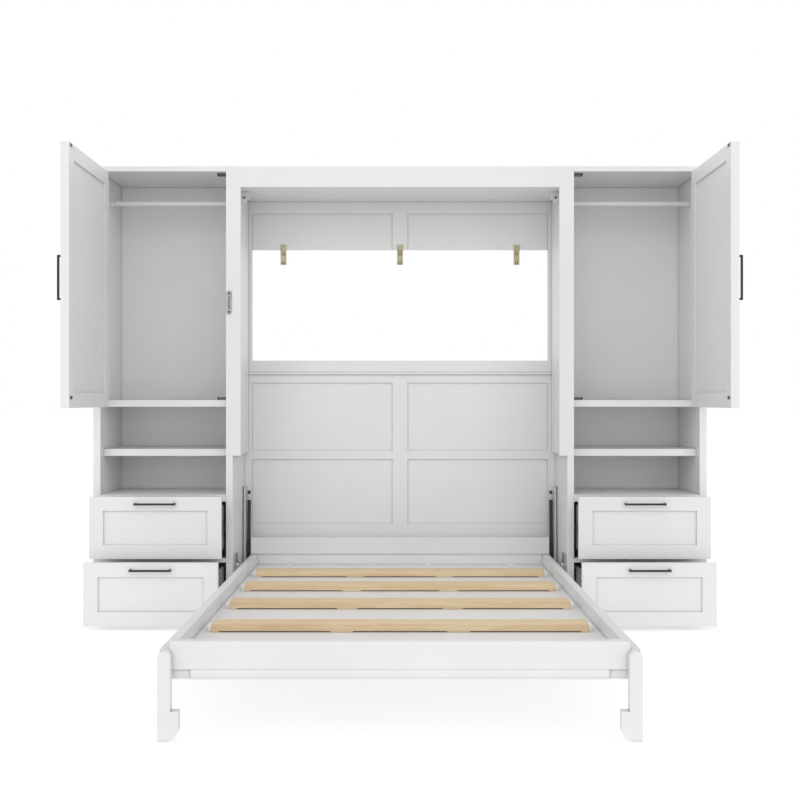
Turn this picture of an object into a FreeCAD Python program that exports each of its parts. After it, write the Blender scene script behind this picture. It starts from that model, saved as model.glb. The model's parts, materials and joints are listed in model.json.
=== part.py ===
import FreeCAD, Part
import os
import re

import Sketcher

# White wall bed between two wardrobe towers.  Millimetres, +Z up; the bed folds down towards -Y.
# The origin is the middle of the floor rectangle that the lowered bed and the cabinets cover.
# Names ending in _z are heights over the floor, _x distances from the middle plane, and _y
# distances behind the cabinets' front plane, negative in front of it.
# Pieces are made on the right-hand side (+X), and their twins are mirror images.

DIMENSIONS = [
    ("total_half", 1549, "middle to the outer face of a tower"),
    ("cab_half", 879, "middle to the joint between bed cabinet and tower"),
    ("cab_depth", 400, "front plane to the wall"),
    ("total_high", 2304, "floor to the top"),
    ("foot_reach", 1837, "front plane to the outer face of the legs"),
    ("board", 34, "partitions, bed rails and foot board"),
    ("thick_board", 35, "shelves, bed face panel and board over the drawers"),
    ("tower_board", 36, "outer sides of the towers"),
    ("top_board", 26, "top boards"),
    ("thin_board", 18, "ceiling board, base board and head board"),
    ("face_board", 20, "header, stiles and floor rail"),
    ("back_frame", 15, "frame of the back"),
    ("back_panel", 9, "panels of the back and backs of the towers"),
    ("upper_side_x", 821, "inner face of the upper sides"),
    ("stile_x", 805, "inner edge of the front stiles"),
    ("stile_z", 842, "lower end of the front stiles and upper sides"),
    ("header_z", 2199, "underside of the header and ceiling"),
    ("back_stile_x", 801, "inner edge of the back's outer stiles"),
    ("mid_stile", 81, "width of the back's middle stile"),
    ("belt_z", 1262, "underside of the window rail, joint of the upper sides"),
    ("sill_z", 1337, "top of the window rail"),
    ("lintel_z", 1937, "lower edge of the back over the window"),
    ("top_rail_z", 2133, "lower edge of the back's top rail"),
    ("belt_rail_z", 1217, "lower edge of the rail under the window rail"),
    ("mid_rail_z", 803, "lower edge of the lower back's middle rail"),
    ("mid_rail", 48, "width of the lower back's middle rail"),
    ("low_rail_z", 373, "lower edge of the lower back's bottom rail"),
    ("low_rail", 80, "width of the lower back's bottom rail"),
    ("bead", 10, "bead under the window rail"),
    ("floor_rail_z", 100, "top of the floor rail"),
    ("stop_y", 110, "front of the stop blocks"),
    ("stop_wide", 41, "stop blocks"),
    ("stop_high", 52, "stop blocks"),
    ("stop_deep", 25, "stop blocks"),
    ("stop_notch", 12, "cut-away lower corner of a stop block"),
    ("buffer_rad", 5, "buffer of a stop block"),
    ("buffer_long", 6, "buffer of a stop block"),
    ("buffer_x", 22, "inner side of a stop block to its buffer"),
    ("buffer_z", 20, "underside of a stop block up to its buffer"),
    ("strap_wide", 32, "wall brackets"),
    ("strap_thick", 3, "wall brackets"),
    ("strap_long", 79, "part of a wall bracket that lies on the wall"),
    ("strap_tab", 28, "part of a wall bracket that lies on the cabinet's back"),
    ("strap_hole", 3, "radius of a wall bracket's holes"),
    ("strap_hole_z", 21, "edge of the back down to the upper hole"),
    ("strap_pitch", 49, "between a wall bracket's holes"),
    ("strap_x", 633, "outer wall brackets"),
    ("strap_screw_x", 8, "middle of a wall bracket to its screws"),
    ("shelf_z", 1089, "underside of the wardrobe's floor"),
    ("shelf_y", 42, "front edge of the wardrobe's floor"),
    ("low_shelf_z", 838, "underside of the open shelf"),
    ("low_shelf_y", 60, "front edge of the open shelf"),
    ("cover_z", 610, "underside of the board over the drawers"),
    ("divider_z", 303, "underside of the rail between two drawers"),
    ("divider_high", 22, "rail between two drawers"),
    ("divider_deep", 80, "rail between two drawers"),
    ("base_z", 22, "underside of a tower's base board"),
    ("base_y", 2, "front edge of a tower's base board"),
    ("kick_y", 30, "front of the board under a tower's base board"),
    ("rod_rad", 12.5, "hanging rod"),
    ("rod_wall", 1.5, "hanging rod"),
    ("rod_z", 2152, "hanging rod"),
    ("rod_y", 198, "hanging rod"),
    ("socket_flange", 3, "thickness of a hanging rod socket's flange"),
    ("socket_long", 16, "hanging rod socket, with its flange"),
    ("socket_wall", 4, "collar of a hanging rod socket"),
    ("socket_rim", 12, "flange of a hanging rod socket, outwards from the rod"),
    ("catch_long", 51, "magnet catch"),
    ("catch_deep", 16, "magnet catch"),
    ("catch_high", 14, "magnet catch"),
    ("catch_gap", 1, "front edge of the wardrobe's floor back to a magnet catch"),
    ("door_gap", 2, "gap at a door's edges"),
    ("door_thick", 38, "door leaf"),
    ("door_low_z", 1088, "lower edge of a door"),
    ("door_top_z", 2272, "upper edge of a door"),
    ("frame_wide", 70, "frames of doors and drawer fronts"),
    ("recess", 8, "panels lie this far behind their frames"),
    ("hinge_rad", 5, "hinge knuckle"),
    ("hinge_pin", 2.5, "radius of a hinge's pin"),
    ("hinge_high", 64, "hinge"),
    ("hinge_leaf", 0.8, "thickness of a hinge leaf"),
    ("hinge_in", 1, "inner face of a tower's side to the hinge axis"),
    ("hinge_edge", 1, "hinge axis to the edge of a door"),
    ("hinge_end", 140, "end of a door to the middle of its outer hinges"),
    ("hinge_short", 4, "edge of a hinge leaf to the far face of its board"),
    ("hinge_neck", 1.5, "reach of the neck between a hinge's leaf and knuckle"),
    ("hinge_lap", 1, "hinge axis to the edge of the fixed leaf inside its knuckle"),
    ("strike_thick", 2, "strike plate of a door"),
    ("strike_long", 36, "strike plate of a door"),
    ("strike_high", 16, "strike plate of a door"),
    ("strike_y", 8, "free edge of a door to its strike plates"),
    ("strike_low_z", 38, "lower edge of a door up to its lower strike plate"),
    ("strike_top_z", 2, "upper edge of a door down to its upper strike plate"),
    ("free_gap", 0.3, "clearance between parts that move past each other"),
    ("fit", 0.05, "radial clearance of a running fit"),
    ("front_thick", 22, "drawer front"),
    ("front_in_x", 887, "inner edge of a drawer front"),
    ("front_out_x", 1543, "outer edge of a drawer front"),
    ("front_high", 309, "drawer front"),
    ("front_z", 21, "lower edge of the lower drawer front"),
    ("front_pitch", 313, "from the lower drawer front to the upper one"),
    ("pull_lower", 166, "how far a lower drawer stands open"),
    ("pull_upper", 71, "how far an upper drawer stands open"),
    ("box_deep", 350, "drawer box"),
    ("box_high", 220, "drawer box"),
    ("box_wall", 12, "drawer box"),
    ("box_floor", 6, "bottom board of a drawer box"),
    ("box_floor_z", 8, "lower edge of a drawer box up to its bottom board"),
    ("box_z", 39, "lower edge of a drawer front up to its box"),
    ("slide_high", 45, "drawer slide"),
    ("slide_half", 6, "thickness of each slide member"),
    ("slide_wide", 12.7, "a closed pair of slide members, with their gap"),
    ("slide_z", 120, "lower edge of a drawer front up to its slides"),
    ("slide_y", 6, "front end of a slide's fixed member"),
    ("grip_long", 202, "bar handle"),
    ("grip_thick", 9.5, "bar handle"),
    ("grip_out", 28, "how far a handle stands out"),
    ("grip_aside", 5, "middle of a door's frame to its handle"),
    ("grip_drop", 8, "middle of a door down to the middle of its handle"),
    ("bed_half", 798, "middle to the outer face of a bed rail"),
    ("face_z", 195, "underside of the lowered bed, which is the front of the closed bed"),
    ("face_frame", 90, "strips that frame the bed's face"),
    ("face_rail_y", 1000, "middle of the face's cross rail, ahead of the front plane"),
    ("deck", 12, "deck board"),
    ("rail_z", 297, "top of the bed rails"),
    ("head_y", 340, "head end of the bed"),
    ("head_joint_z", 300, "joint between head board and head band"),
    ("head_z", 387, "top of the head band"),
    ("head_band", 25, "head band"),
    ("foot_z", 323, "top of the foot board"),
    ("notch_x", 695, "inner end of the recesses in the bed's foot edge, behind the legs"),
    ("notch_deep", 12, "recesses in the bed's foot edge"),
    ("slat_wide", 89, "slat"),
    ("slat_thick", 32, "slat"),
    ("slat_x", 717, "half the length of a slat"),
    ("slat_relief", 4, "relief under a slat between its pads"),
    ("slat_end", 29, "end pad of a slat"),
    ("slat_pad_x", 222, "middle of a slat's inner pads"),
    ("slat_pad", 87, "length of an inner pad"),
    ("clip_long", 16, "end clip of a slat"),
    ("clip_high", 22, "end clip of a slat"),
    ("clip_side", 14, "edge of a slat to its end clip"),
    ("tab_half", 17, "half the width of a steel plate at the bed's head"),
    ("tab_deep", 38, "steel plate at the bed's head"),
    ("tab_thick", 3, "steel plate at the bed's head"),
    ("pivot_y", 80.5, "bed pivot"),
    ("pivot_z", 275.5, "bed pivot"),
    ("pin_rad", 10, "bed pivot pins"),
    ("pin_rim", 9, "flange of a pivot pin, outwards from the pin"),
    ("pin_flange", 4, "thickness of a pivot pin's flange"),
    ("pin_short", 1, "gap at the end of a pivot pin and of a bed stud"),
    ("bearing_out", 23, "length of a pivot bearing"),
    ("bearing_plate", 8, "plate of a pivot bearing"),
    ("bearing_half_y", 45, "half the width of a pivot bearing's plate"),
    ("bearing_half_z", 60, "half the height of a pivot bearing's plate"),
    ("bearing_wall", 8, "boss of a pivot bearing, outwards from the pin"),
    ("bearing_screw_y", 34, "pivot to the plate's screws, along the plate's width"),
    ("bearing_screw_z", 48, "pivot to the plate's screws, along the plate's height"),
    ("leg_wide", 42, "leg"),
    ("leg_toe_x", 729, "inner end of a leg's foot"),
    ("leg_foot_z", 99, "top of a leg's foot"),
    ("leg_toe_rad", 48, "rounding under a leg's toe"),
    ("leg_pin", 4, "radius of a leg's pivot pin"),
    ("leg_skin", 6, "wood left in front of a leg's pivot pin"),
    ("strut_x", 812, "middle line of a gas spring"),
    ("strut_y", 350, "upper end of a gas spring"),
    ("strut_z", 627, "upper end of a gas spring"),
    ("stud_y", 325, "lower end of a gas spring"),
    ("stud_z", 250, "lower end of a gas spring"),
    ("strut_rad", 9.5, "cylinder of a gas spring"),
    ("strut_rod", 4, "radius of a gas spring's rod and studs"),
    ("strut_eye", 9, "radius of a gas spring's end sockets"),
    ("strut_half", 8, "half the width of a gas spring's end sockets"),
    ("strut_bare", 46, "upper end down to the cylinder's top"),
    ("strut_long", 348, "upper end down to the end of the rod"),
    ("strut_whole", 378, "between the ends of a closed gas spring"),
    ("strut_foot", 4, "lower end of a gas spring up to its cylinder"),
    ("strut_seat", 8, "end of the rod down to the bottom of the cylinder's bore"),
    ("strut_lap", 1, "reach of the rod into its end socket"),
    ("stud_rad", 8, "bed stud that faces a gas spring"),
    ("channel", 16, "depth of a gas spring's steel channel"),
    ("channel_wide", 36, "gas spring channel"),
    ("channel_low_z", 236, "gas spring channel"),
    ("channel_top_z", 656, "gas spring channel"),
    ("channel_wall", 3, "steel of a gas spring channel"),
    ("channel_end", 30, "upper end of a gas spring down to the hollow of its channel"),
    ("lock_wide", 28, "lock plate"),
    ("lock_high", 122, "lock plate"),
    ("lock_z", 1554, "lower edge of the lock plate"),
    ("lock_thick", 2.5, "lock plate"),
    ("lock_edge", 2, "outer edge of a stile to the lock plate"),
    ("lock_side", 9, "edge of the lock plate to its slot"),
    ("lock_end", 16, "screw of the lock plate to its slot"),
    ("screw", 4, "radius of a screw's head"),
    ("screw_proud", 1, "height of a screw's head"),
    ("over", 1, "how far a cut reaches past the solid that it cuts"),
]

V = FreeCAD.Vector
ALONG_X = FreeCAD.Rotation(V(0, 1, 0), 90)
ALONG_Y = FreeCAD.Rotation(V(1, 0, 0), -90)
ALONG_Z = FreeCAD.Rotation()
FRONT = "(foot_reach - cab_depth) / 2"
SLAT_FRONTS = (1305, 871, 459, 80)      # front edges of the slats, ahead of the front plane
TAB_MIDDLES = (150, 590)                # steel plates at the bed's head
TIERS = ("lower", "upper")

doc = FreeCAD.newDocument("WallBed")
sheet = doc.addObject("Spreadsheet::Sheet", "Dims")
for row, (alias, value, meaning) in enumerate(DIMENSIONS, start=1):
    sheet.set(f"A{row}", meaning)
    sheet.set(f"B{row}", str(value))
    sheet.setAlias(f"B{row}", alias)
doc.recompute()
parts = []


# ---------------------------------------------------------------- helpers

def bind(obj, prop, expression):
    """Binds a property to an expression of the sheet's aliases."""
    named = re.sub(r"\b([a-z]\w*)\b(?!\()", r"Dims.\1", str(expression))
    obj.setExpression(prop, named)


def place(obj, x, y, z, start_y=FRONT):
    """Binds an object's place; y counts from the front plane."""
    bind(obj, "Placement.Base.x", x)
    bind(obj, "Placement.Base.y", f"{start_y} + {y}")
    bind(obj, "Placement.Base.z", z)


def keep(obj, label):
    """Makes an object a sub-part of the model."""
    obj.Label = label
    parts.append(obj)
    return obj


def box(x, y, z):
    """A board between a low and a high limit on each axis."""
    block = doc.addObject("Part::Box", "Board")
    bind(block, "Length", f"({x[1]}) - ({x[0]})")
    bind(block, "Width", f"({y[1]}) - ({y[0]})")
    bind(block, "Height", f"({z[1]}) - ({z[0]})")
    place(block, f"({x[0]})", f"({y[0]})", f"({z[0]})")
    return block


def across(half, y, z):
    """A board that spans the middle plane."""
    return box((f"-({half})", half), y, z)


def bar(radius, length, x, y, z, turn, start_y=FRONT):
    """A round bar that starts at a point and runs along +X, +Y or +Z."""
    rod = doc.addObject("Part::Cylinder", "Bar")
    rod.Placement.Rotation = turn
    bind(rod, "Radius", radius)
    bind(rod, "Height", length)
    place(rod, f"({x})", f"({y})", f"({z})", start_y)
    return rod


def bar_x(radius, x, y, z, start_y=FRONT):
    """A round bar along X between two limits."""
    return bar(radius, f"({x[1]}) - ({x[0]})", x[0], y, z, ALONG_X, start_y)


def twin(obj):
    """The mirror image of an object, on the left-hand side."""
    mirror = doc.addObject("Part::Mirroring", "Twin")
    mirror.Source = obj
    mirror.Normal = V(1, 0, 0)
    return mirror


def both(solids):
    """Solids of the right-hand side, and their twins."""
    return solids + [twin(solid) for solid in solids]


def group(label, solids):
    """Several separate solids in one sub-part."""
    bundle = doc.addObject("Part::Compound", "Group")
    bundle.Links = solids
    return keep(bundle, label)


def fuse(solids):
    """Several solids made into one."""
    joined = doc.addObject("Part::MultiFuse", "Joined")
    joined.Shapes = solids
    joined.Refine = True
    return joined


def cut(base, tools):
    """A solid less one or more others."""
    result = doc.addObject("Part::Cut", "Cut")
    result.Base = base
    result.Tool = tools[0] if len(tools) == 1 else fuse(tools)
    return result


def keep_pair(obj, name):
    """Keeps a right-hand piece and its left-hand twin as two sub-parts."""
    keep(obj, f"right_{name}")
    keep(twin(obj), f"left_{name}")


# ---------------------------------------------------------------- bed cabinet

def cabinet_boards():
    """Partitions, face frame, header and top of the middle cabinet."""
    frame_y = "cab_depth - back_frame"
    group("lower_partitions", both([
        box(("cab_half - board", "cab_half"), ("0", frame_y), ("0", "stile_z"))]))
    group("upper_partitions", both([
        box(("upper_side_x", "cab_half"), ("face_board", frame_y), ("stile_z", "belt_z")),
        box(("upper_side_x", "cab_half"), ("face_board", frame_y),
            ("belt_z", "total_high - top_board"))]))
    group("front_stiles", both([
        box(("stile_x", "cab_half"), ("0", "face_board"), ("stile_z", "header_z"))]))
    keep(across("cab_half", ("0", "face_board"), ("header_z", "total_high")), "header")
    group("cabinet_top", [
        across("cab_half", ("face_board", "cab_depth"), ("total_high - top_board", "total_high")),
        across("upper_side_x", ("face_board", frame_y), ("header_z", "header_z + thin_board"))])


def cabinet_back():
    """Framed back with an open window, and the rail on the floor."""
    frame_y = "cab_depth - back_frame"
    panel_y = "cab_depth - back_panel"
    high_z = "total_high - top_board"
    strip_y = (frame_y, panel_y)
    side_x = ("mid_stile / 2", "back_stile_x")
    group("back_panels", [
        across("back_stile_x", (panel_y, "cab_depth"), ("0", "belt_z")),
        across("back_stile_x", (panel_y, "cab_depth"), ("lintel_z", high_z))])
    frame = both([box(("back_stile_x", "cab_half"), (frame_y, "cab_depth"), ("0", high_z))])
    for low_z, top_z in (("low_rail_z", "low_rail_z + low_rail"),
                         ("mid_rail_z", "mid_rail_z + mid_rail"),
                         ("belt_rail_z", "belt_z"),
                         ("top_rail_z", high_z)):
        frame += both([box(side_x, strip_y, (low_z, top_z))])
    for low_z, top_z in (("low_rail_z", "belt_z"), ("lintel_z", high_z)):
        frame.append(across("mid_stile / 2", strip_y, (low_z, top_z)))
    frame.append(across("cab_half - board", (f"{frame_y} - face_board", frame_y),
                        ("0", "floor_rail_z")))
    group("back_frame", frame)
    group("window_rail", [
        across("back_stile_x", (frame_y, "cab_depth"), ("belt_z", "sill_z")),
        across("upper_side_x", (f"{frame_y} - bead", frame_y), ("belt_z", "belt_z + bead"))])


def stop_blocks():
    """Blocks under the ceiling, with buffers that the raised bed rests on."""
    inner = "upper_side_x - stop_wide"
    block = box((inner, "upper_side_x"), ("stop_y", "stop_y + stop_deep"),
                ("header_z - stop_high", "header_z"))
    under = "header_z - stop_high"
    corner = box((f"{inner} - over", f"{inner} + stop_notch"),
                 ("stop_y - over", "stop_y + stop_deep + over"),
                 (f"{under} - over", f"{under} + stop_notch"))
    buffer = bar("buffer_rad", "buffer_long", f"{inner} + buffer_x", "stop_y - buffer_long",
                 f"{under} + buffer_z", ALONG_Y)
    group("stop_blocks", both([cut(block, [corner]), buffer]))


def wall_brackets():
    """Three cranked straps: a tab on the back's front, a step under it and a plate on the wall."""
    low = "lintel_z - strap_long"
    straps = []
    for middle, face in (("0", "back_frame"), ("strap_x", "back_panel"), ("-strap_x", "back_panel")):
        width = (f"{middle} - strap_wide / 2", f"{middle} + strap_wide / 2")
        face_y = f"cab_depth - {face}"
        tab = box(width, (f"{face_y} - strap_thick", face_y),
                  ("lintel_z - strap_thick", "lintel_z + strap_tab"))
        step = box(width, (f"{face_y} - strap_thick", "cab_depth"),
                   ("lintel_z - strap_thick", "lintel_z"))
        plate = box(width, ("cab_depth - strap_thick", "cab_depth"), (low, "lintel_z"))
        holes = [bar("strap_hole", "strap_thick + 2 * over", middle,
                     "cab_depth - strap_thick - over", z, ALONG_Y)
                 for z in ("lintel_z - strap_hole_z", "lintel_z - strap_hole_z - strap_pitch")]
        screws = [bar("screw", "strap_thick + screw_proud", f"{middle} + {dx}",
                      f"{face_y} - strap_thick - screw_proud", "lintel_z + strap_tab / 2", ALONG_Y)
                  for dx in ("-strap_screw_x", "strap_screw_x")]
        straps.append(cut(fuse([tab, step, plate] + screws), holes))
    group("wall_brackets", straps)


def lock_plate():
    """Steel keeper for the lock's bolt, on the left stile."""
    outer = "cab_half - lock_edge"
    inner, middle = f"{outer} - lock_wide", f"{outer} - lock_wide / 2"
    ends = ("lock_z + lock_wide / 2", "lock_z + lock_high - lock_wide / 2")
    plate = [box((inner, outer), ("-lock_thick", "0"), ends)]
    for z in ends:
        plate.append(bar("lock_wide / 2", "lock_thick", middle, "-lock_thick", z, ALONG_Y))
    slot = box((f"{inner} + lock_side", f"{outer} - lock_side"), ("-lock_thick - over", "over"),
               (f"{ends[0]} + lock_end", f"{ends[1]} - lock_end"))
    screws = [bar("screw", "screw_proud", middle, "-lock_thick - screw_proud", z, ALONG_Y)
              for z in ends]
    keep(twin(fuse([cut(fuse(plate), [slot])] + screws)), "lock_plate")


def bed_bearings():
    """Plates with a bored boss on the lower partitions, for the bed's pivot pins."""
    wall = "cab_half - board"
    plate = box((f"{wall} - bearing_plate", wall),
                ("pivot_y - bearing_half_y", "pivot_y + bearing_half_y"),
                ("pivot_z - bearing_half_z", "pivot_z + bearing_half_z"))
    boss = bar_x("pin_rad + bearing_wall", (f"{wall} - bearing_out", f"{wall} - bearing_plate"),
                 "pivot_y", "pivot_z")
    bore = bar_x("pin_rad + fit", (f"{wall} - bearing_out - over", f"{wall} + over"),
                 "pivot_y", "pivot_z")
    screws = [bar_x("screw", (f"{wall} - bearing_plate - screw_proud", f"{wall} - bearing_plate"),
                    f"pivot_y {side} bearing_screw_y", f"pivot_z {end} bearing_screw_z")
              for side in "-+" for end in "-+"]
    group("pivot_bearings", both([cut(fuse([plate, boss] + screws), [bore])]))


def spring_plates():
    """Steel channels on the lower partitions, with the studs for the gas springs' upper ends."""
    wall = "cab_half - board"
    low_y, high_y = "strut_y - channel_wide / 2", "strut_y + channel_wide / 2"
    channel = box((f"{wall} - channel", wall), (low_y, high_y), ("channel_low_z", "channel_top_z"))
    hollow = box((f"{wall} - channel - over", f"{wall} - channel_wall"),
                 (f"{low_y} + channel_wall", f"{high_y} - channel_wall"),
                 ("channel_low_z + channel_wall", "strut_z - channel_end"))
    stud = bar_x("strut_rod", ("strut_x - strut_half", f"{wall} - channel"), "strut_y", "strut_z")
    group("spring_plates", both([fuse([cut(channel, [hollow]), stud])]))


# ---------------------------------------------------------------- towers

def tower_boards():
    """The fixed boards of both towers."""
    inner = ("cab_half", "total_half - tower_board")
    back_y = "cab_depth - back_panel"
    group("tower_sides", both([box(("total_half - tower_board", "total_half"), ("0", "cab_depth"),
                                   ("0", "total_high - top_board"))]))
    group("tower_tops", both([box(("cab_half", "total_half"), ("0", "cab_depth"),
                                  ("total_high - top_board", "total_high"))]))
    group("tower_backs", both([box(inner, (back_y, "cab_depth"), ("0", "total_high - top_board"))]))
    group("tower_shelves", both([
        box(inner, ("shelf_y", back_y), ("shelf_z", "shelf_z + thick_board")),
        box(inner, ("low_shelf_y", back_y), ("low_shelf_z", "low_shelf_z + thick_board"))]))
    group("drawer_case_boards", both([
        box(inner, ("0", back_y), ("cover_z", "cover_z + thick_board")),
        box(inner, ("0", "divider_deep"), ("divider_z", "divider_z + divider_high")),
        box(inner, ("base_y", back_y), ("base_z", "base_z + thin_board")),
        box(inner, ("kick_y", "kick_y + thin_board"), ("0", "base_z"))]))


def hanging_rods():
    """A tube across each wardrobe, and the flanged sockets at its ends."""
    inner_x, outer_x = "cab_half", "total_half - tower_board"
    start_x, end_x = f"{inner_x} + socket_flange", f"{outer_x} - socket_flange"
    tube = cut(bar_x("rod_rad", (start_x, end_x), "rod_y", "rod_z"),
               [bar_x("rod_rad - rod_wall", (inner_x, outer_x), "rod_y", "rod_z")])
    sockets = []
    for flange, collar in (((inner_x, start_x), (start_x, f"{inner_x} + socket_long")),
                           ((end_x, outer_x), (f"{outer_x} - socket_long", end_x))):
        ring = cut(bar_x("rod_rad + socket_wall", collar, "rod_y", "rod_z"),
                   [bar_x("rod_rad", collar, "rod_y", "rod_z")])
        sockets.append(fuse([bar_x("rod_rad + socket_rim", flange, "rod_y", "rod_z"), ring]))
    group("hanging_rods", both([tube] + sockets))


def door_catches():
    """Magnet catches inside the wardrobes, above and below the door's free edge."""
    span = ("cab_half", "cab_half + catch_long")
    deep = ("shelf_y + catch_gap", "shelf_y + catch_gap + catch_deep")
    under, over_shelf = "total_high - top_board", "shelf_z + thick_board"
    group("door_catches", both([
        box(span, deep, (f"{under} - catch_high", under)),
        box(span, deep, (over_shelf, f"{over_shelf} + catch_high"))]))


# ---------------------------------------------------------------- doors

AXIS_X = "(total_half - tower_board - hinge_in)"
AXIS_Y = "(-hinge_rad - free_gap)"
LEAF_X = f"({AXIS_X} + {AXIS_Y})"
LEAF_Y = f"({AXIS_Y} - hinge_edge)"
DOOR_WIDE = "(total_half - tower_board - cab_half - 2 * door_gap)"
HINGE_HEIGHTS = ("door_low_z + hinge_end", "(door_low_z + door_top_z) / 2", "door_top_z - hinge_end")


def door_leaf():
    """A framed leaf with panels recessed on both faces, open at a right angle."""
    outer, inner = LEAF_X, f"{LEAF_X} - door_thick"
    free, hinged = f"{LEAF_Y} - {DOOR_WIDE}", LEAF_Y
    leaf = box((inner, outer), (free, hinged), ("door_low_z", "door_top_z"))
    panel_y = (f"{free} + frame_wide", f"{hinged} - frame_wide")
    panel_z = ("door_low_z + frame_wide", "door_top_z - frame_wide")
    hollows = [box((f"{outer} - recess", f"{outer} + over"), panel_y, panel_z),
               box((f"{inner} - over", f"{inner} + recess"), panel_y, panel_z)]
    keep_pair(cut(leaf, hollows), "door")


def door_handle():
    """A bar handle on two posts, upright near the leaf's free edge."""
    middle_y = f"{LEAF_Y} - {DOOR_WIDE} + frame_wide / 2 + grip_aside"
    thick = (f"{middle_y} - grip_thick / 2", f"{middle_y} + grip_thick / 2")
    low_z = "(door_low_z + door_top_z - grip_long) / 2 - grip_drop"
    top_z = f"{low_z} + grip_long"
    pieces = [box((f"{LEAF_X} + grip_out - grip_thick", f"{LEAF_X} + grip_out"), thick, (low_z, top_z))]
    for start in (low_z, f"{top_z} - grip_thick"):
        pieces.append(box((LEAF_X, f"{LEAF_X} + grip_out - grip_thick"), thick,
                          (start, f"{start} + grip_thick")))
    keep_pair(fuse(pieces), "door_handle")


def hinge(middle_z):
    """One butt hinge: the half on the door, and the half on the cabinet with its pin."""
    low, high = f"{middle_z} - hinge_high / 2", f"{middle_z} + hinge_high / 2"
    sixth = "hinge_high / 6"
    mid_z = (f"{middle_z} - {sixth}", f"{middle_z} + {sixth}")
    bore_high = f"2 * {sixth} + 2 * over"
    face_y = (LEAF_Y, f"{LEAF_Y} + hinge_leaf")
    door_leaf_plate = box((f"{LEAF_X} - door_thick + hinge_short", LEAF_X), face_y, (low, high))
    door_neck = box((LEAF_X, f"{LEAF_X} + hinge_neck"), face_y, mid_z)
    door_knuckle = cut(
        bar("hinge_rad", f"2 * {sixth}", AXIS_X, AXIS_Y, mid_z[0], ALONG_Z),
        [bar("hinge_pin + fit", bore_high, AXIS_X, AXIS_Y, f"{mid_z[0]} - over", ALONG_Z)])
    neck_cut = bar("hinge_pin + fit", bore_high, AXIS_X, AXIS_Y, f"{mid_z[0]} - over", ALONG_Z)
    door_half = fuse([door_leaf_plate, cut(door_neck, [neck_cut]), door_knuckle])
    wall_x = "total_half - tower_board"
    case = [box((f"{wall_x} - hinge_leaf", wall_x), ("0", "door_thick - hinge_short"), (low, high)),
            bar("hinge_pin", "hinge_high", AXIS_X, AXIS_Y, low, ALONG_Z)]
    for start, end in ((low, f"{mid_z[0]} - free_gap"), (f"{mid_z[1]} + free_gap", high)):
        case.append(bar("hinge_rad", f"({end}) - ({start})", AXIS_X, AXIS_Y, start, ALONG_Z))
        case.append(box((f"{wall_x} - hinge_leaf", wall_x), (f"{AXIS_Y} + hinge_lap", "0"),
                        (start, end)))
    return door_half, fuse(case)


def door_hardware():
    """Hinges, and the strike plates that the magnet catches hold."""
    door_halves, case_halves = [], []
    for middle_z in HINGE_HEIGHTS:
        door_half, case_half = hinge(middle_z)
        door_halves.append(door_half)
        case_halves.append(case_half)
    free = f"{LEAF_Y} - {DOOR_WIDE}"
    inner = f"{LEAF_X} - door_thick"
    strike_y = (f"{free} + strike_y", f"{free} + strike_y + strike_long")
    strikes = [box((f"{inner} - strike_thick", inner), strike_y, (low_z, f"{low_z} + strike_high"))
               for low_z in ("door_low_z + strike_low_z", "door_top_z - strike_top_z - strike_high")]
    fittings = door_halves + strikes
    group("right_door_fittings", fittings)
    group("left_door_fittings", [twin(piece) for piece in fittings])
    group("hinge_plates", both(case_halves))


# ---------------------------------------------------------------- drawers

def drawer(tier, level):
    """A pair of drawers, left and right, standing open as far as their tier does."""
    low_z = f"front_z + {tier} * front_pitch"
    pull = f"pull_{level}"
    face_y, back_y = f"-{pull} - front_thick", f"-{pull}"
    front = box(("front_in_x", "front_out_x"), (face_y, back_y), (low_z, f"{low_z} + front_high"))
    hollow = box(("front_in_x + frame_wide", "front_out_x - frame_wide"),
                 (f"{face_y} - over", f"{face_y} + recess"),
                 (f"{low_z} + frame_wide", f"{low_z} + front_high - frame_wide"))
    keep_pair(cut(front, [hollow]), f"{level}_drawer_front")

    outer = ("cab_half + slide_wide", "total_half - tower_board - slide_wide")
    inner = (f"{outer[0]} + box_wall", f"{outer[1]} - box_wall")
    end_y = f"{back_y} + box_deep"
    box_z = f"{low_z} + box_z"
    floor_z = f"{box_z} + box_floor_z"
    high = (box_z, f"{box_z} + box_high")
    boards = [
        box((outer[0], inner[0]), (back_y, end_y), high),
        box((inner[1], outer[1]), (back_y, end_y), high),
        box(inner, (back_y, f"{back_y} + box_wall"), high),
        box(inner, (f"{end_y} - box_wall", end_y), high),
        box(inner, (f"{back_y} + box_wall", f"{end_y} - box_wall"),
            (floor_z, f"{floor_z} + box_floor"))]
    group(f"right_{level}_drawer_box", boards)
    group(f"left_{level}_drawer_box", [twin(board) for board in boards])

    slide_z = (f"{low_z} + slide_z", f"{low_z} + slide_z + slide_high")
    runners = [box((f"{outer[0]} - slide_half", outer[0]), (back_y, end_y), slide_z),
               box((outer[1], f"{outer[1]} + slide_half"), (back_y, end_y), slide_z)]
    group(f"right_{level}_drawer_runners", runners)
    group(f"left_{level}_drawer_runners", [twin(runner) for runner in runners])
    drawer_handle(level, face_y, f"{low_z} + front_high - frame_wide / 2")
    return slide_z


def drawer_handle(level, face_y, z):
    """A bar handle on two posts, level on the front's top rail."""
    middle = "(front_in_x + front_out_x) / 2"
    thick = (f"{z} - grip_thick / 2", f"{z} + grip_thick / 2")
    ends = (f"{middle} - grip_long / 2", f"{middle} + grip_long / 2")
    pieces = [box(ends, (f"{face_y} - grip_out", f"{face_y} - grip_out + grip_thick"), thick)]
    for start in (ends[0], f"{ends[1]} - grip_thick"):
        pieces.append(box((start, f"{start} + grip_thick"),
                          (f"{face_y} - grip_out + grip_thick", face_y), thick))
    keep_pair(fuse(pieces), f"{level}_drawer_handle")


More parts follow.
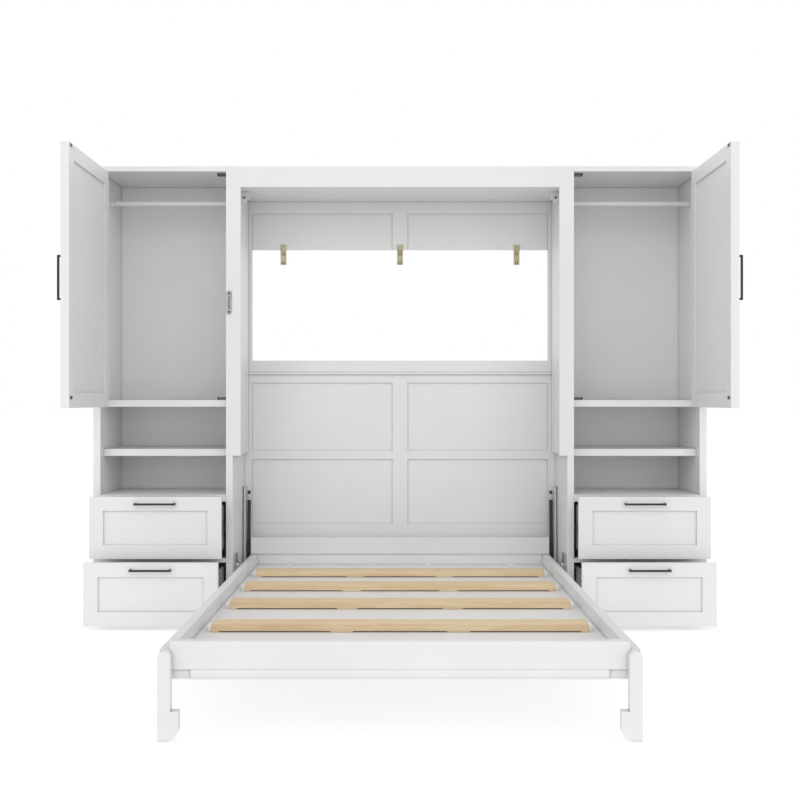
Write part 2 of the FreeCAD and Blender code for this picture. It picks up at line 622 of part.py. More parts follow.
def drawers():
    """Four drawers and the slide members that stay in the towers."""
    inner_x, outer_x = "cab_half", "total_half - tower_board"
    rails = []
    for tier, level in enumerate(TIERS):
        slide_z = drawer(tier, level)
        for edges in ((inner_x, f"{inner_x} + slide_half"), (f"{outer_x} - slide_half", outer_x)):
            rails.append(box(edges, ("slide_y", "slide_y + box_deep"), slide_z))
    group("cabinet_slides", both(rails))


# ---------------------------------------------------------------- bed

def bed_frame():
    """Face panel with its strips, deck, rails, foot board and head board of the lowered bed."""
    foot_y = "-foot_reach + board"
    head_in = "head_y - thin_board"
    deck_z = "face_z + thick_board"
    inner = "bed_half - board"
    panel_z = "face_z + recess"
    edge_y = f"{foot_y} + notch_deep"
    keep(fuse([across("notch_x", (foot_y, edge_y), (panel_z, deck_z)),
               across("bed_half", (edge_y, "head_y"), (panel_z, deck_z))]), "bed_face_panel")
    strip_z = ("face_z", panel_z)
    rails = [("-face_rail_y - face_frame / 2", "-face_rail_y + face_frame / 2"),
             ("head_y - face_frame", "head_y")]
    strips = [fuse([across("notch_x", (foot_y, edge_y), strip_z),
                    across("bed_half", (edge_y, f"{foot_y} + face_frame"), strip_z)])]
    strips += [across("bed_half", rail, strip_z) for rail in rails]
    for span in ((f"{foot_y} + face_frame", rails[0][0]), (rails[0][1], rails[1][0])):
        strips.append(across("face_frame / 2", span, strip_z))
        strips += both([box(("bed_half - face_frame", "bed_half"), span, strip_z)])
    group("bed_face_strips", strips)
    keep(across(inner, (f"{foot_y} + board", head_in), (deck_z, f"{deck_z} + deck")), "bed_deck")
    group("bed_side_rails", both([box((inner, "bed_half"), (foot_y, head_in), (deck_z, "rail_z"))]))
    keep(across(inner, (foot_y, f"{foot_y} + board"), (deck_z, "foot_z")), "foot_board")
    group("head_board", [
        across("bed_half", (head_in, "head_y"), (deck_z, "head_joint_z")),
        across("bed_half", ("head_y - head_band", "head_y"), ("head_joint_z", "head_z"))])


def slats():
    """Cross slats that rest on pads, their end clips, and steel plates at the head."""
    deck_z = "face_z + thick_board + deck"
    boards, clips = [], []
    pads = ("slat_pad_x - slat_pad / 2", "slat_pad_x + slat_pad / 2")
    for ahead in SLAT_FRONTS:
        y = (f"-{ahead}", f"-{ahead} + slat_wide")
        under = (f"{deck_z} - over", f"{deck_z} + slat_relief")
        past = (f"{y[0]} - over", f"{y[1]} + over")
        outer_relief = box((pads[1], "slat_x - slat_end"), past, under)
        boards.append(cut(across("slat_x", y, (deck_z, f"{deck_z} + slat_thick")),
                          [across(pads[0], past, under), outer_relief, twin(outer_relief)]))
        clips += both([box(("slat_x", "slat_x + clip_long"),
                           (f"{y[0]} + clip_side", f"{y[1]} - clip_side"),
                           (deck_z, f"{deck_z} + clip_high"))])
    for middle in TAB_MIDDLES:
        clips += both([box((f"{middle} - tab_half", f"{middle} + tab_half"),
                           ("head_y - thin_board - tab_deep", "head_y - thin_board"),
                           (deck_z, f"{deck_z} + tab_thick"))])
    group("slats", boards)
    group("slat_clips", clips)


def bed_pins():
    """Flanged pivot pins, and the studs that face the gas springs' lower ends."""
    flange_x = "bed_half + pin_flange"
    pin = fuse([bar_x("pin_rad + pin_rim", ("bed_half", flange_x), "pivot_y", "pivot_z"),
                bar_x("pin_rad", (flange_x, "cab_half - board - pin_short"), "pivot_y", "pivot_z")])
    stud = bar_x("stud_rad", ("bed_half", "strut_x - strut_rad - pin_short"), "stud_y", "stud_z")
    group("bed_pins", both([pin, stud]))


def leg_outline(body):
    """The leg seen from the foot: round over its pivot, with a foot that reaches inwards."""
    value = {name: float(sheet.get(name)) for name in
             ("bed_half", "rail_z", "leg_wide", "leg_toe_x", "leg_foot_z", "leg_toe_rad")}
    out_x, toe_x, foot_z = value["bed_half"], value["leg_toe_x"], value["leg_foot_z"]
    in_x, half = out_x - value["leg_wide"], value["leg_wide"] / 2
    top_z, toe_rad = value["rail_z"] - half, value["leg_toe_rad"]
    corners = [V(out_x, 0, 0), V(out_x, top_z, 0), V(in_x, top_z, 0), V(in_x, foot_z, 0),
               V(toe_x, foot_z, 0), V(toe_x, toe_rad, 0), V(toe_x + toe_rad, 0, 0)]
    crown = Part.Arc(corners[1], V(in_x + half, top_z + half, 0), corners[2])
    slope = toe_rad * (1 - 2 ** -0.5)
    toe = Part.Arc(corners[5], V(toe_x + slope, slope, 0), corners[6])
    curves = [Part.LineSegment(corners[0], corners[1]), crown,
              Part.LineSegment(corners[2], corners[3]), Part.LineSegment(corners[3], corners[4]),
              Part.LineSegment(corners[4], corners[5]), toe,
              Part.LineSegment(corners[6], corners[0])]
    sketch = body.newObject("Sketcher::SketchObject", "LegOutline")
    plane = [feature for feature in body.Origin.OriginFeatures if feature.Role == "XZ_Plane"][0]
    sketch.AttachmentSupport = [(plane, "")]
    sketch.MapMode = "FlatFace"
    sketch.addGeometry(curves, False)
    outer, top, inner, ledge, toe_side, round_toe, sole = range(7)
    for line in (outer, inner, toe_side):
        sketch.addConstraint(Sketcher.Constraint("Vertical", line))
    for line in (ledge, sole):
        sketch.addConstraint(Sketcher.Constraint("Horizontal", line))
    # Arcs run counter-clockwise, so the toe's arc starts at its side and the crown at the outside.
    for joint in ((outer, 2, top, 1), (top, 2, inner, 1), (toe_side, 2, round_toe, 1),
                  (round_toe, 2, sole, 1)):
        sketch.addConstraint(Sketcher.Constraint("Tangent", *joint))
    for joint in ((inner, 2, ledge, 1), (ledge, 2, toe_side, 1), (sole, 2, outer, 1)):
        sketch.addConstraint(Sketcher.Constraint("Coincident", *joint))
    for kind, curve, point, size, expression in (
            ("DistanceX", outer, 1, out_x, "bed_half"),
            ("DistanceX", inner, 1, in_x, "bed_half - leg_wide"),
            ("DistanceY", outer, 2, top_z, "rail_z - leg_wide / 2"),
            ("DistanceX", ledge, 2, toe_x, "leg_toe_x"),
            ("DistanceY", ledge, 2, foot_z, "leg_foot_z")):
        index = sketch.addConstraint(Sketcher.Constraint(kind, -1, 1, curve, point, size))
        bind(sketch, f"Constraints[{index}]", expression)
    sketch.addConstraint(Sketcher.Constraint("PointOnObject", outer, 1, -1))
    index = sketch.addConstraint(Sketcher.Constraint("Radius", round_toe, toe_rad))
    bind(sketch, f"Constraints[{index}]", "leg_toe_rad")
    return sketch


def legs():
    """Folding legs, each bored from behind for a pin that stands out of a bed rail's end."""
    middle, pivot = "bed_half - leg_wide / 2", "rail_z - leg_wide / 2"
    body = doc.addObject("PartDesign::Body", "Leg")
    pad = body.newObject("PartDesign::Pad", "LegPad")
    pad.Profile = leg_outline(body)
    bind(pad, "Length", "board")
    body.Tip = pad
    place(body, "0", "-foot_reach + board", "0")
    bore = bar("leg_pin + fit", "board", middle, "-foot_reach + leg_skin", pivot, ALONG_Y)
    keep_pair(cut(body, [bore]), "leg")
    start_y = "-foot_reach + leg_skin + free_gap"
    pin = bar("leg_pin", "board - leg_skin - free_gap", middle, start_y, pivot, ALONG_Y)
    group("leg_pins", both([pin]))


def gas_springs():
    """Gas springs: the rod hangs from the cabinet's stud, and the cylinder slides on the rod."""
    width = ("-strut_half", "strut_half")
    eye = bar_x("strut_eye", width, "0", "0", "0")
    rod = bar("strut_rod", "strut_long - strut_eye + strut_lap", "0", "0", "-strut_long", ALONG_Z, "0")
    eye_bore = bar_x("strut_rod + fit", ("-strut_half - over", "strut_half + over"), "0", "0", "0")
    upper = cut(fuse([eye, rod]), [eye_bore])
    tube = bar("strut_rad", "strut_whole - strut_bare - strut_foot", "0", "0",
               "strut_foot - strut_whole", ALONG_Z, "0")
    socket = bar_x("strut_eye", width, "0", "-strut_whole", "0")
    tube_bore = bar("strut_rod + fit", "strut_whole", "0", "0", "-strut_long - strut_seat",
                    ALONG_Z, "0")
    lower = cut(fuse([tube, socket]), [tube_bore])
    for name, spring in (("spring_rod", upper), ("spring_cylinder", lower)):
        spring.Placement.Rotation = FreeCAD.Rotation(V(1, 0, 0), 1)
        bind(spring, "Placement.Rotation.Angle",
             "-atan((strut_y - stud_y) / (strut_z - stud_z))")
        place(spring, "strut_x", "strut_y", "strut_z")
        keep_pair(spring, name)


# ---------------------------------------------------------------- build and write

for make in (cabinet_boards, cabinet_back, stop_blocks, wall_brackets, lock_plate, bed_bearings,
             spring_plates, tower_boards, hanging_rods, door_catches, door_leaf, door_handle,
             door_hardware, drawers, bed_frame, slats, bed_pins, legs, gas_springs):
    make()
doc.recompute()

for obj in doc.Objects:
    if "Invalid" in obj.State or "Error" in obj.State:
        raise RuntimeError(f"{obj.Name} ({obj.Label}) failed: {obj.State}")
for obj in parts:
    if obj.Shape.isNull() or not obj.Shape.isValid():
        raise RuntimeError(f"{obj.Label} has no valid shape")
os.makedirs("parts", exist_ok=True)
for obj in parts:
    obj.Shape.exportStep(f"parts/{obj.Label}.step")
print(f"{len(parts)} sub-parts written")
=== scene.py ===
import json
import math

import bmesh
import bpy
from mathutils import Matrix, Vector


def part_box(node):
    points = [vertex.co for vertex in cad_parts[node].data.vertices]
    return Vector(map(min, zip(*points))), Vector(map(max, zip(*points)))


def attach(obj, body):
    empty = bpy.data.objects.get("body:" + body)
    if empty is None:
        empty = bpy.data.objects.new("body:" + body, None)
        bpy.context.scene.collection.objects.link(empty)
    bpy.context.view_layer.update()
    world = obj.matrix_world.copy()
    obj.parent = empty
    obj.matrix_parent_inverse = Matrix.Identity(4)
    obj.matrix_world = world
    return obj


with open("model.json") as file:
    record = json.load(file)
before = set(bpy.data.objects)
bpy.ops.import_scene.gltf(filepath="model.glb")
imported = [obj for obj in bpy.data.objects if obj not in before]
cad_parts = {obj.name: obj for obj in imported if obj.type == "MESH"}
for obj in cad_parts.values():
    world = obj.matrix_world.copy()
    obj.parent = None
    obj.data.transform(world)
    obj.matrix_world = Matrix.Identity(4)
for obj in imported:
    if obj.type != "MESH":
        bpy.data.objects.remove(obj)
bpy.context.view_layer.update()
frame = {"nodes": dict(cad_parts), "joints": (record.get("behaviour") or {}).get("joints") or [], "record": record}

# ------------------------------------------------------------------ sizes, in metres
CAMERA_HIGH = 1.1236
CAMERA_BACK = 5.252          # from the lens to the cabinets' front plane
LENS = 46.8                  # millimetres, like the sensor's width
SENSOR = 36.0
WORLD_LIGHT = 1.0
FLOOR_GLOW = 0.66
SUN_LIGHT = 0.42
SUN_HIGH = 28                # degrees over the floor
SUN_ASIDE = 38               # degrees to each side of the front
SUN_WIDE = 50                # degrees that each sun spans, which softens its shadows
FLOOR_HALF = 60.0
FLOOR_DROP = 0.0005          # the floor lies this far under the object's feet
FRONT_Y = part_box("front_stiles")[0].y
MM = 0.001
EYE = 9 * MM                 # radius of a gas spring's end socket

# ------------------------------------------------------------------ material helpers


class Nodes:
    """A material's node tree, with short calls for the nodes that these materials use."""

    def __init__(self, name):
        self.material = bpy.data.materials.new(name)
        self.material.use_nodes = True
        self.tree = self.material.node_tree
        self.shader = self.tree.nodes["Principled BSDF"]
        self.place = self.add("ShaderNodeTexCoord").outputs["Object"]

    def add(self, kind, **settings):
        node = self.tree.nodes.new(kind)
        for key, value in settings.items():
            if hasattr(node, key):
                setattr(node, key, value)
            else:
                node.inputs[key.replace("_", " ").title()].default_value = value
        return node

    def link(self, source, target):
        self.tree.links.new(source, target)

    def stretched(self, scale):
        """The object's own coordinates, scaled by axis."""
        mapping = self.add("ShaderNodeMapping")
        mapping.inputs["Scale"].default_value = scale
        self.link(self.place, mapping.inputs["Vector"])
        return mapping.outputs["Vector"]

    def noise(self, scale, detail=4.0, stretch=(1, 1, 1), roughness=0.5):
        texture = self.add("ShaderNodeTexNoise", scale=scale, detail=detail, roughness=roughness)
        self.link(self.stretched(stretch), texture.inputs["Vector"])
        return texture.outputs["Fac"]

    def ramp(self, source, stops):
        """Maps a value through colour stops of (position, colour)."""
        node = self.add("ShaderNodeValToRGB")
        ramp = node.color_ramp
        while len(ramp.elements) < len(stops):
            ramp.elements.new(0.5)
        for element, (position, colour) in zip(ramp.elements, stops):
            element.position = position
            element.color = (*colour, 1)
        self.link(source, node.inputs["Fac"])
        return node.outputs["Color"]

    def span(self, source, low, high, start=0.0, end=1.0):
        """Maps a value from one range to another."""
        node = self.add("ShaderNodeMapRange")
        for name, value in (("From Min", start), ("From Max", end), ("To Min", low), ("To Max", high)):
            node.inputs[name].default_value = value
        self.link(source, node.inputs["Value"])
        return node.outputs["Result"]

    def mix(self, factor, first, second, blend="MIX"):
        """Mixes two colours; each is a socket or a colour."""
        node = self.add("ShaderNodeMix", data_type="RGBA", blend_type=blend)
        for index, value in ((0, factor), (6, first), (7, second)):
            if isinstance(value, bpy.types.NodeSocket):
                self.link(value, node.inputs[index])
            else:
                node.inputs[index].default_value = value if index == 0 else (*value, 1)
        return node.outputs[2]

    def worn_edges(self, radius, strength):
        """A mask that is bright near convex edges."""
        bevel = self.add("ShaderNodeBevel", samples=4)
        bevel.inputs["Radius"].default_value = radius
        geometry = self.add("ShaderNodeNewGeometry")
        dot = self.add("ShaderNodeVectorMath", operation="DOT_PRODUCT")
        self.link(bevel.outputs["Normal"], dot.inputs[0])
        self.link(geometry.outputs["Normal"], dot.inputs[1])
        return self.span(dot.outputs["Value"], strength, 0.0, 0.9, 1.0)

    def corner_shade(self, distance, low, high):
        """A mask that is bright in inner corners, where shade falls; the colour is darkened there to stand in for
        that shade.
        """
        shade = self.add("ShaderNodeAmbientOcclusion", samples=6)
        shade.inputs["Distance"].default_value = distance
        return self.span(shade.outputs["AO"], high, low, 0.35, 0.95)

    def bump(self, height, strength, distance):
        node = self.add("ShaderNodeBump")
        node.inputs["Strength"].default_value = strength
        node.inputs["Distance"].default_value = distance
        self.link(height, node.inputs["Height"])
        self.link(node.outputs["Normal"], self.shader.inputs["Normal"])

    def colour(self, socket):
        self.link(socket, self.shader.inputs["Base Color"])

    def roughness(self, socket):
        self.link(socket, self.shader.inputs["Roughness"])

    def fixed(self, values):
        """Sets the shader's own sockets to one value all over."""
        for key, value in values.items():
            self.shader.inputs[key].default_value = value


# ------------------------------------------------------------------ materials

def white_paint(name="white_paint", light=(0.700, 0.698, 0.699), dark=(0.675, 0.672, 0.674)):
    """Satin white lacquer on board: orange peel, faint roller streaks and slightly dulled patches."""
    n = Nodes(name)
    cloud = n.noise(2.2, 3.0)
    base = n.ramp(cloud, [(0.35, dark), (0.65, light)])
    handled = n.noise(9.0, 6.0, roughness=0.65)
    tint = n.mix(n.span(handled, 0.0, 0.35, 0.55, 0.85), base, (0.655, 0.652, 0.648))
    # painted shade: the colour turns grey in inner corners, where shade falls
    n.colour(n.mix(n.corner_shade(0.012, 0.0, 0.55), tint, (0.34, 0.335, 0.33)))
    n.roughness(n.span(n.noise(34.0, 5.0), 0.34, 0.5, 0.3, 0.7))
    peel = n.noise(420.0, 2.0)
    streak = n.noise(60.0, 3.0, stretch=(1, 1, 0.06))
    n.bump(n.mix(0.35, peel, streak), 0.16, 0.0006)
    n.fixed({"Specular IOR Level": 0.42, "Coat Weight": 0.06, "Coat Roughness": 0.3})
    return n.material


def pine():
    """Planed pine: growth lines along the slat, warm drift between boards, small dark flecks."""
    n = Nodes("pine")
    drift = n.noise(1.6, 2.0, stretch=(1.0, 2.2, 1.0))
    wave = n.add("ShaderNodeTexWave", wave_type="BANDS", bands_direction="Y", scale=26.0,
                 distortion=7.5, detail=3.0)
    wave.inputs["Detail Scale"].default_value = 0.8
    n.link(n.stretched((0.10, 1.0, 1.4)), wave.inputs["Vector"])
    grain = n.ramp(wave.outputs["Fac"], [(0.0, (0.68, 0.545, 0.36)), (0.55, (0.65, 0.505, 0.325)),
                                         (0.9, (0.54, 0.38, 0.21)), (1.0, (0.58, 0.43, 0.25))])
    warm = n.ramp(drift, [(0.3, (0.62, 0.46, 0.29)), (0.5, (0.70, 0.56, 0.38)),
                          (0.72, (0.67, 0.57, 0.36))])
    colour = n.mix(0.45, grain, warm)
    fibre = n.noise(300.0, 3.0, stretch=(0.03, 1.0, 1.0))
    colour = n.mix(n.span(fibre, 0.0, 0.5, 0.52, 0.8), colour, (0.50, 0.34, 0.18))
    n.colour(colour)
    n.roughness(n.span(fibre, 0.5, 0.72))
    n.bump(fibre, 0.25, 0.0005)
    n.fixed({"Specular IOR Level": 0.3})
    return n.material


def black_metal():
    """Satin black powder coat with rubbed edges."""
    n = Nodes("black_metal")
    base = n.ramp(n.noise(55.0, 4.0), [(0.3, (0.016, 0.016, 0.017)), (0.7, (0.030, 0.030, 0.031))])
    n.colour(n.mix(n.worn_edges(0.0012, 0.5), base, (0.10, 0.10, 0.10)))
    n.roughness(n.span(n.noise(120.0, 4.0), 0.32, 0.52, 0.3, 0.7))
    n.bump(n.noise(900.0, 2.0), 0.2, 0.0002)
    n.fixed({"Metallic": 0.35, "Specular IOR Level": 0.5})
    return n.material


def plated_steel(name, light, dark, stretch):
    """Plated steel with fine brush lines and cloudy plating."""
    n = Nodes(name)
    cloud = n.noise(24.0, 4.0)
    base = n.ramp(cloud, [(0.3, dark), (0.7, light)])
    lines = n.noise(500.0, 3.0, stretch=stretch)
    n.colour(n.mix(n.span(lines, 0.0, 0.3, 0.5, 0.8), base, dark))
    n.roughness(n.span(lines, 0.26, 0.46, 0.3, 0.7))
    n.bump(lines, 0.12, 0.0002)
    n.fixed({"Metallic": 0.92})
    return n.material


def channel_steel():
    """Bright channel with a black strip along its edge on the partition, which paints in the shadow of the seam
    there.
    """
    n = Nodes("channel_steel")
    place = n.add("ShaderNodeSeparateXYZ")
    n.link(n.place, place.inputs["Vector"])
    aside = n.add("ShaderNodeMath", operation="ABSOLUTE")
    n.link(place.outputs["X"], aside.inputs[0])
    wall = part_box("spring_plates")[1].x
    # painted shade: black within 5 millimetres of the partition, and less metallic there, for the seam's shadow
    seam_shade = n.span(aside.outputs["Value"], 0.0, 1.0, wall - 6 * MM, wall - 5 * MM)
    cloud = n.noise(18.0, 3.0)
    bright = n.ramp(cloud, [(0.3, (0.56, 0.56, 0.57)), (0.7, (0.62, 0.62, 0.63))])
    n.colour(n.mix(seam_shade, bright, (0.030, 0.030, 0.031)))
    n.roughness(n.span(cloud, 0.42, 0.55))
    n.link(n.span(seam_shade, 0.55, 0.2), n.shader.inputs["Metallic"])
    n.bump(n.noise(500.0, 3.0, stretch=(1, 1, 0.04)), 0.08, 0.0002)
    return n.material


def spring_rod():
    """Polished rod whose end socket is moulded in black."""
    n = Nodes("spring_rod")
    height = n.add("ShaderNodeSeparateXYZ")
    n.link(n.place, height.inputs["Vector"])
    ball_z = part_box("left_spring_rod")[1].z - EYE
    rod = n.span(height.outputs["Z"], 1.0, 0.0, ball_z - EYE - 1 * MM, ball_z - EYE)
    cloud = n.noise(40.0, 3.0)
    bright = n.ramp(cloud, [(0.3, (0.66, 0.66, 0.67)), (0.7, (0.80, 0.80, 0.80))])
    n.colour(n.mix(rod, (0.03, 0.03, 0.031), bright))
    n.roughness(n.span(cloud, 0.14, 0.3))
    n.link(rod, n.shader.inputs["Metallic"])
    n.bump(n.noise(700.0, 2.0), 0.06, 0.0001)
    return n.material


def drawer_board():
    """Grey-brown printed board: dark streaks along the grain and a slightly rough face."""
    n = Nodes("drawer_board")
    streak = n.noise(18.0, 6.0, stretch=(0.25, 0.25, 2.2), roughness=0.62)
    base = n.ramp(streak, [(0.28, (0.120, 0.100, 0.092)), (0.5, (0.190, 0.163, 0.150)),
                           (0.75, (0.250, 0.220, 0.204))])
    n.colour(base)
    n.roughness(n.span(streak, 0.5, 0.7))
    n.bump(n.noise(240.0, 3.0, stretch=(0.3, 0.3, 2.0)), 0.22, 0.0004)
    return n.material


def moulded_plastic(name, light, dark):
    """Moulded plastic with a fine spark-eroded grain."""
    n = Nodes(name)
    n.colour(n.ramp(n.noise(12.0, 3.0), [(0.35, dark), (0.65, light)]))
    n.roughness(n.span(n.noise(200.0, 4.0), 0.42, 0.6, 0.3, 0.7))
    n.bump(n.noise(1500.0, 2.0), 0.25, 0.0001)
    return n.material


def floor_material():
    """A pale studio floor that glows, so that shadows on it stay light."""
    n = Nodes("studio_floor")
    n.colour(n.ramp(n.noise(0.8, 2.0), [(0.4, (0.34, 0.34, 0.34)), (0.6, (0.36, 0.36, 0.36))]))
    n.roughness(n.span(n.noise(40.0, 3.0), 0.6, 0.8))
    n.fixed({"Emission Color": (1, 1, 1, 1), "Emission Strength": FLOOR_GLOW})
    return n.material


WHITE = white_paint()
PINE = pine()
BLACK = black_metal()
STEEL = plated_steel("plated_steel", (0.50, 0.50, 0.51), (0.32, 0.32, 0.33), (1, 1, 0.04))
CHROME = spring_rod()
ZINC = plated_steel("yellow_zinc", (0.50, 0.465, 0.32), (0.36, 0.315, 0.19), (0.5, 1, 0.5))
BOLT = plated_steel("bolt_steel", (0.26, 0.26, 0.26), (0.16, 0.16, 0.165), (1, 1, 0.04))
CHANNEL = channel_steel()
DRAWER = drawer_board()
CLIP = moulded_plastic("white_clip", (0.84, 0.84, 0.82), (0.78, 0.78, 0.76))
BUFFER = moulded_plastic("buffer_rubber", (0.045, 0.045, 0.045), (0.025, 0.025, 0.025))
BY_SLOT = {"white_board": WHITE, "white_metal": white_paint("white_metal", (0.69, 0.69, 0.688)),
           "drawer_board": DRAWER, "pine": PINE, "black_metal": BLACK, "steel": STEEL,
           "yellow_zinc": ZINC, "chrome": CHROME, "white_plastic": CLIP}


# ------------------------------------------------------------------ CAD nodes

def soften(obj, width, segments=2):
    """Merges doubled vertices and rounds the sharp edges, without touching the CAD mesh."""
    weld = obj.modifiers.new("Weld", "WELD")
    weld.merge_threshold = 0.00001
    bevel = obj.modifiers.new("Bevel", "BEVEL")
    bevel.width = width
    bevel.segments = segments
    bevel.limit_method = "ANGLE"
    bevel.angle_limit = math.radians(40)
    bevel.harden_normals = True


EDGE = {"white_board": 1.2, "white_metal": 0.3, "drawer_board": 0.6, "pine": 2.5,
        "black_metal": 1.0, "steel": 0.4, "yellow_zinc": 0.6, "chrome": 0.4, "white_plastic": 1.0}
for row in frame["record"]["subparts"]:
    node, slot = row["node"], row["material_slot"]
    obj = frame["nodes"][node]
    obj.data.materials.clear()
    obj.data.materials.append(CHANNEL if node == "spring_plates" else BY_SLOT[slot])
    soften(obj, EDGE[slot] * MM)


# ------------------------------------------------------------------ small visual pieces

FORWARD = (0, -1, 0)
SMALL_EDGE = 0.4 * MM


def piece(name, mesh, material, body):
    """Adds a mesh to the scene as a piece that rides on a CAD body."""
    mesh.materials.append(material)
    obj = bpy.data.objects.new(name, mesh)
    bpy.context.scene.collection.objects.link(obj)
    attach(obj, body)
    return obj


def turned(name, profile, centre, axis, material, body, steps=40):
    """A ring, cap or collar: (radius, height) points turned round an axis through its centre."""
    mesh = bpy.data.meshes.new(name)
    build = bmesh.new()
    turn = Vector((0, 0, 1)).rotation_difference(Vector(axis).normalized())
    rings = []
    for step in range(steps):
        angle = math.tau * step / steps
        rings.append([build.verts.new(Vector(centre) + turn @ Vector(
            (radius * math.cos(angle), radius * math.sin(angle), height)))
            for radius, height in profile])
    for near, far in zip(rings, rings[1:] + rings[:1]):
        for i in range(len(profile)):
            j = (i + 1) % len(profile)
            build.faces.new((near[i], far[i], far[j], near[j]))
    bmesh.ops.recalc_face_normals(build, faces=build.faces)
    for face in build.faces:
        face.smooth = True
    build.to_mesh(mesh)
    build.free()
    obj = piece(name, mesh, material, body)
    edge = obj.modifiers.new("Edges", "EDGE_SPLIT")
    edge.split_angle = math.radians(50)
    return obj


def rounded_ring(inner, outer, thick, lip=0.3 * MM):
    """Section of a flat ring whose outer edges are chamfered."""
    return [(inner, 0), (outer, 0), (outer, thick - lip), (outer - lip, thick),
            (inner + lip, thick), (inner, thick - lip)]


def plate(name, low, high, radius, material, body):
    """A small plate with rounded edges between two corners."""
    mesh = bpy.data.meshes.new(name)
    build = bmesh.new()
    bmesh.ops.create_cube(build, size=1.0)
    low, high = Vector(low), Vector(high)
    for vertex in build.verts:
        vertex.co = (low + high) / 2 + Vector(a * b for a, b in zip(vertex.co, high - low))
    bmesh.ops.bevel(build, geom=build.edges[:], offset=radius, segments=3, affect="EDGES")
    build.to_mesh(mesh)
    build.free()
    return piece(name, mesh, material, body)


def bracket_washers():
    """Dark washers round the holes of the wall brackets."""
    strap, outer, thick = 3.0 * MM, 8.0 * MM, 1.2 * MM
    for mount in frame["record"]["mounts"]:
        if mount["kind"] != "bolt_pattern":
            continue
        x, y, z = mount["pos_m"]
        half = mount["dims"]["spacing_y_mm"] * MM / 2
        radius = mount["dims"]["hole_r_mm"] * MM
        for where, height in (("low", z - half), ("high", z + half)):
            turned(f"{mount['name']}_{where}_washer", rounded_ring(radius, outer, thick),
                   (x, y - strap, height), FORWARD, BLACK, "cabinet")


def lock_details():
    """The lock plate's dull steel slot, and its two black screws."""
    seat, screw_in, behind = 0.1 * MM, 14 * MM, 1.0 * MM
    recess, head, thick = 0.6 * MM, 5.4 * MM, 1.3 * MM
    low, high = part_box("lock_plate")
    x, z = (low.x + high.x) / 2, (low.z + high.z) / 2
    slot = Vector((4.9, 1.2, 30.5)) * MM       # half width, depth and half height
    plate("lock_slot", (x - slot.x, FRONT_Y - slot.y, z - slot.z),
          (x + slot.x, FRONT_Y - seat, z + slot.z), SMALL_EDGE, BOLT, "cabinet")
    for side in (-1, 1):
        turned(f"lock_screw_{'low' if side < 0 else 'high'}", rounded_ring(recess, head, thick),
               (x, low.y + behind, z + side * ((high.z - low.z) / 2 - screw_in)),
               FORWARD, BLACK, "cabinet")


def catch_jaws():
    """Bright steel jaws on the black magnet catches."""
    low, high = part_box("door_catches")
    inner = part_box("header")[1].x
    tall, wide = 14 * MM, 51 * MM              # a catch
    start, end = 0.18 * wide, 0.86 * wide      # a jaw, along its catch
    proud, sunk, half = 1.6 * MM, 3 * MM, 0.7 * MM
    for side in (-1, 1):
        for level, z in (("low", low.z), ("high", high.z - tall)):
            for jaw, up in (("a", 0.28), ("b", 0.72)):
                ends = sorted((side * (inner + start), side * (inner + end)))
                plate(f"catch_{'left' if side < 0 else 'right'}_{level}_jaw_{jaw}",
                      (ends[0], low.y - proud, z + up * tall - half),
                      (ends[1], low.y + sunk, z + up * tall + half),
                      SMALL_EDGE, STEEL, "cabinet")


def strike_discs():
    """Dark magnet discs on the doors' strike plates."""
    hole, outer, thick = 1.2 * MM, 6.5 * MM, 1.4 * MM
    strike, along = 1.9 * MM, 26 * MM
    from_low, from_top = 46 * MM, 10 * MM
    for name, side in (("left", -1), ("right", 1)):
        low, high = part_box(f"{name}_door")
        face = high.x if side < 0 else low.x
        for level, z in (("low", low.z + from_low), ("high", high.z - from_top)):
            turned(f"{name}_door_{level}_disc", rounded_ring(hole, outer, thick),
                   (face - side * strike, low.y + along, z), (-side, 0, 0),
                   BLACK, f"{name}_door")


def buffer_caps():
    """Black rubber caps over the buffers that meet the raised bed."""
    inner, outer, crown = 0.6 * MM, 5.6 * MM, 4.4 * MM
    shoulder, tall = 4.6 * MM, 5.9 * MM
    aside, up = 19 * MM, 20 * MM               # the blocks' outer faces and undersides to the buffers
    low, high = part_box("stop_blocks")
    for name, x in (("left", low.x + aside), ("right", high.x - aside)):
        turned(f"{name}_buffer_cap",
               [(inner, 0), (outer, 0), (outer, shoulder), (crown, tall), (inner, tall)],
               (x, low.y + tall, low.z + up), FORWARD, BUFFER, "cabinet")


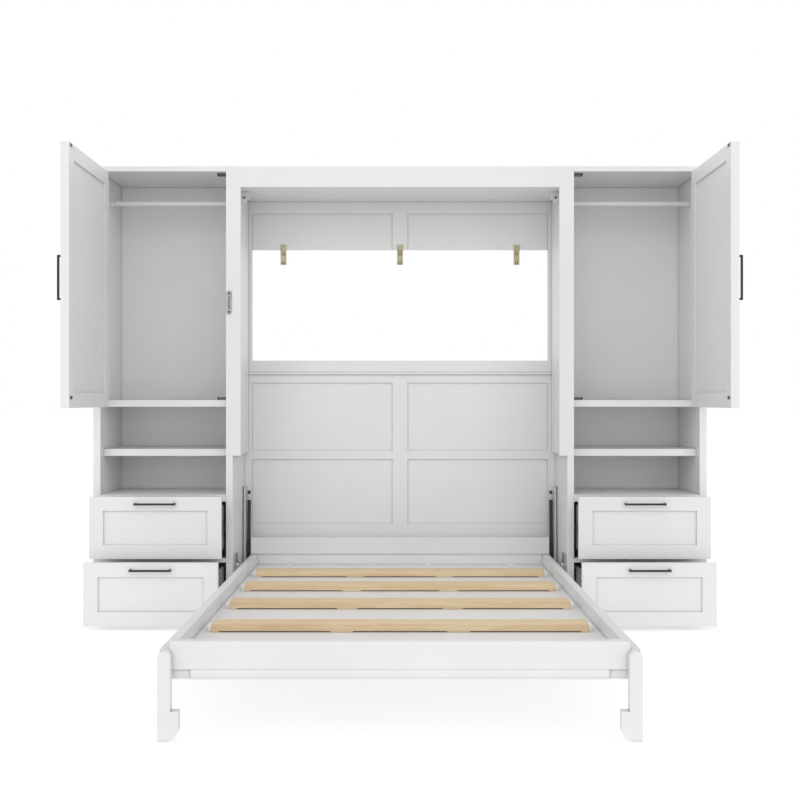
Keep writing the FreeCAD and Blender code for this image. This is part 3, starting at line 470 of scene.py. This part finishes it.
def spring_collars():
    """Seal collars where the rods leave the gas springs' cylinders."""
    inner, outer, crown = 4.3 * MM, 9.9 * MM, 7.5 * MM
    shoulder, tall = 6 * MM, 9 * MM
    reach = 50 * MM                            # from the upper ball to the collar
    joints = {joint["name"]: joint for joint in frame["joints"]}
    for name in ("left", "right"):
        ball = Vector(joints[f"{name}_spring_tilt"]["pos_m"])
        down = Vector(joints[f"{name}_spring_stroke"]["axis"])
        turned(f"{name}_spring_collar",
               [(inner, 0), (outer, 0), (outer, shoulder), (crown, tall), (inner, tall)],
               ball + down * reach, -down, BLACK, f"{name}_spring_cylinder")


bracket_washers()
lock_details()
catch_jaws()
strike_discs()
buffer_caps()
spring_collars()


# ------------------------------------------------------------------ camera, floor and light

def camera():
    """A level camera on the middle plane, in front of the open cabinets."""
    data = bpy.data.cameras.new("Camera")
    data.lens = LENS
    data.sensor_width = SENSOR
    obj = bpy.data.objects.new("Camera", data)
    obj.location = (0.0, FRONT_Y - CAMERA_BACK, CAMERA_HIGH)
    obj.rotation_euler = (math.radians(90), 0, 0)
    bpy.context.scene.collection.objects.link(obj)
    bpy.context.scene.camera = obj


def floor():
    """A large plain pale floor."""
    mesh = bpy.data.meshes.new("floor")
    half = FLOOR_HALF
    corners = [(-half, -half), (half, -half), (half, half), (-half, half)]
    mesh.from_pydata([(x, y, -FLOOR_DROP) for x, y in corners], [], [(0, 1, 2, 3)])
    mesh.materials.append(floor_material())
    obj = bpy.data.objects.new("floor", mesh)
    bpy.context.scene.collection.objects.link(obj)


def lights():
    """Plain, soft studio light: a white surround, and two broad lights from the front sides."""
    world = bpy.data.worlds.new("studio")
    world.use_nodes = True
    background = world.node_tree.nodes["Background"]
    background.inputs["Color"].default_value = (1, 1, 1, 1)
    background.inputs["Strength"].default_value = WORLD_LIGHT
    bpy.context.scene.world = world
    for side in (-1, 1):
        sun = bpy.data.lights.new("soft_sun", "SUN")
        sun.energy = SUN_LIGHT
        sun.angle = math.radians(SUN_WIDE)
        obj = bpy.data.objects.new("soft_sun", sun)
        obj.rotation_euler = (math.radians(90 - SUN_HIGH), 0, math.radians(side * SUN_ASIDE))
        bpy.context.scene.collection.objects.link(obj)
    scene = bpy.context.scene
    scene.view_settings.view_transform = "Standard"
    scene.view_settings.exposure = 0.0


camera()
floor()
lights()
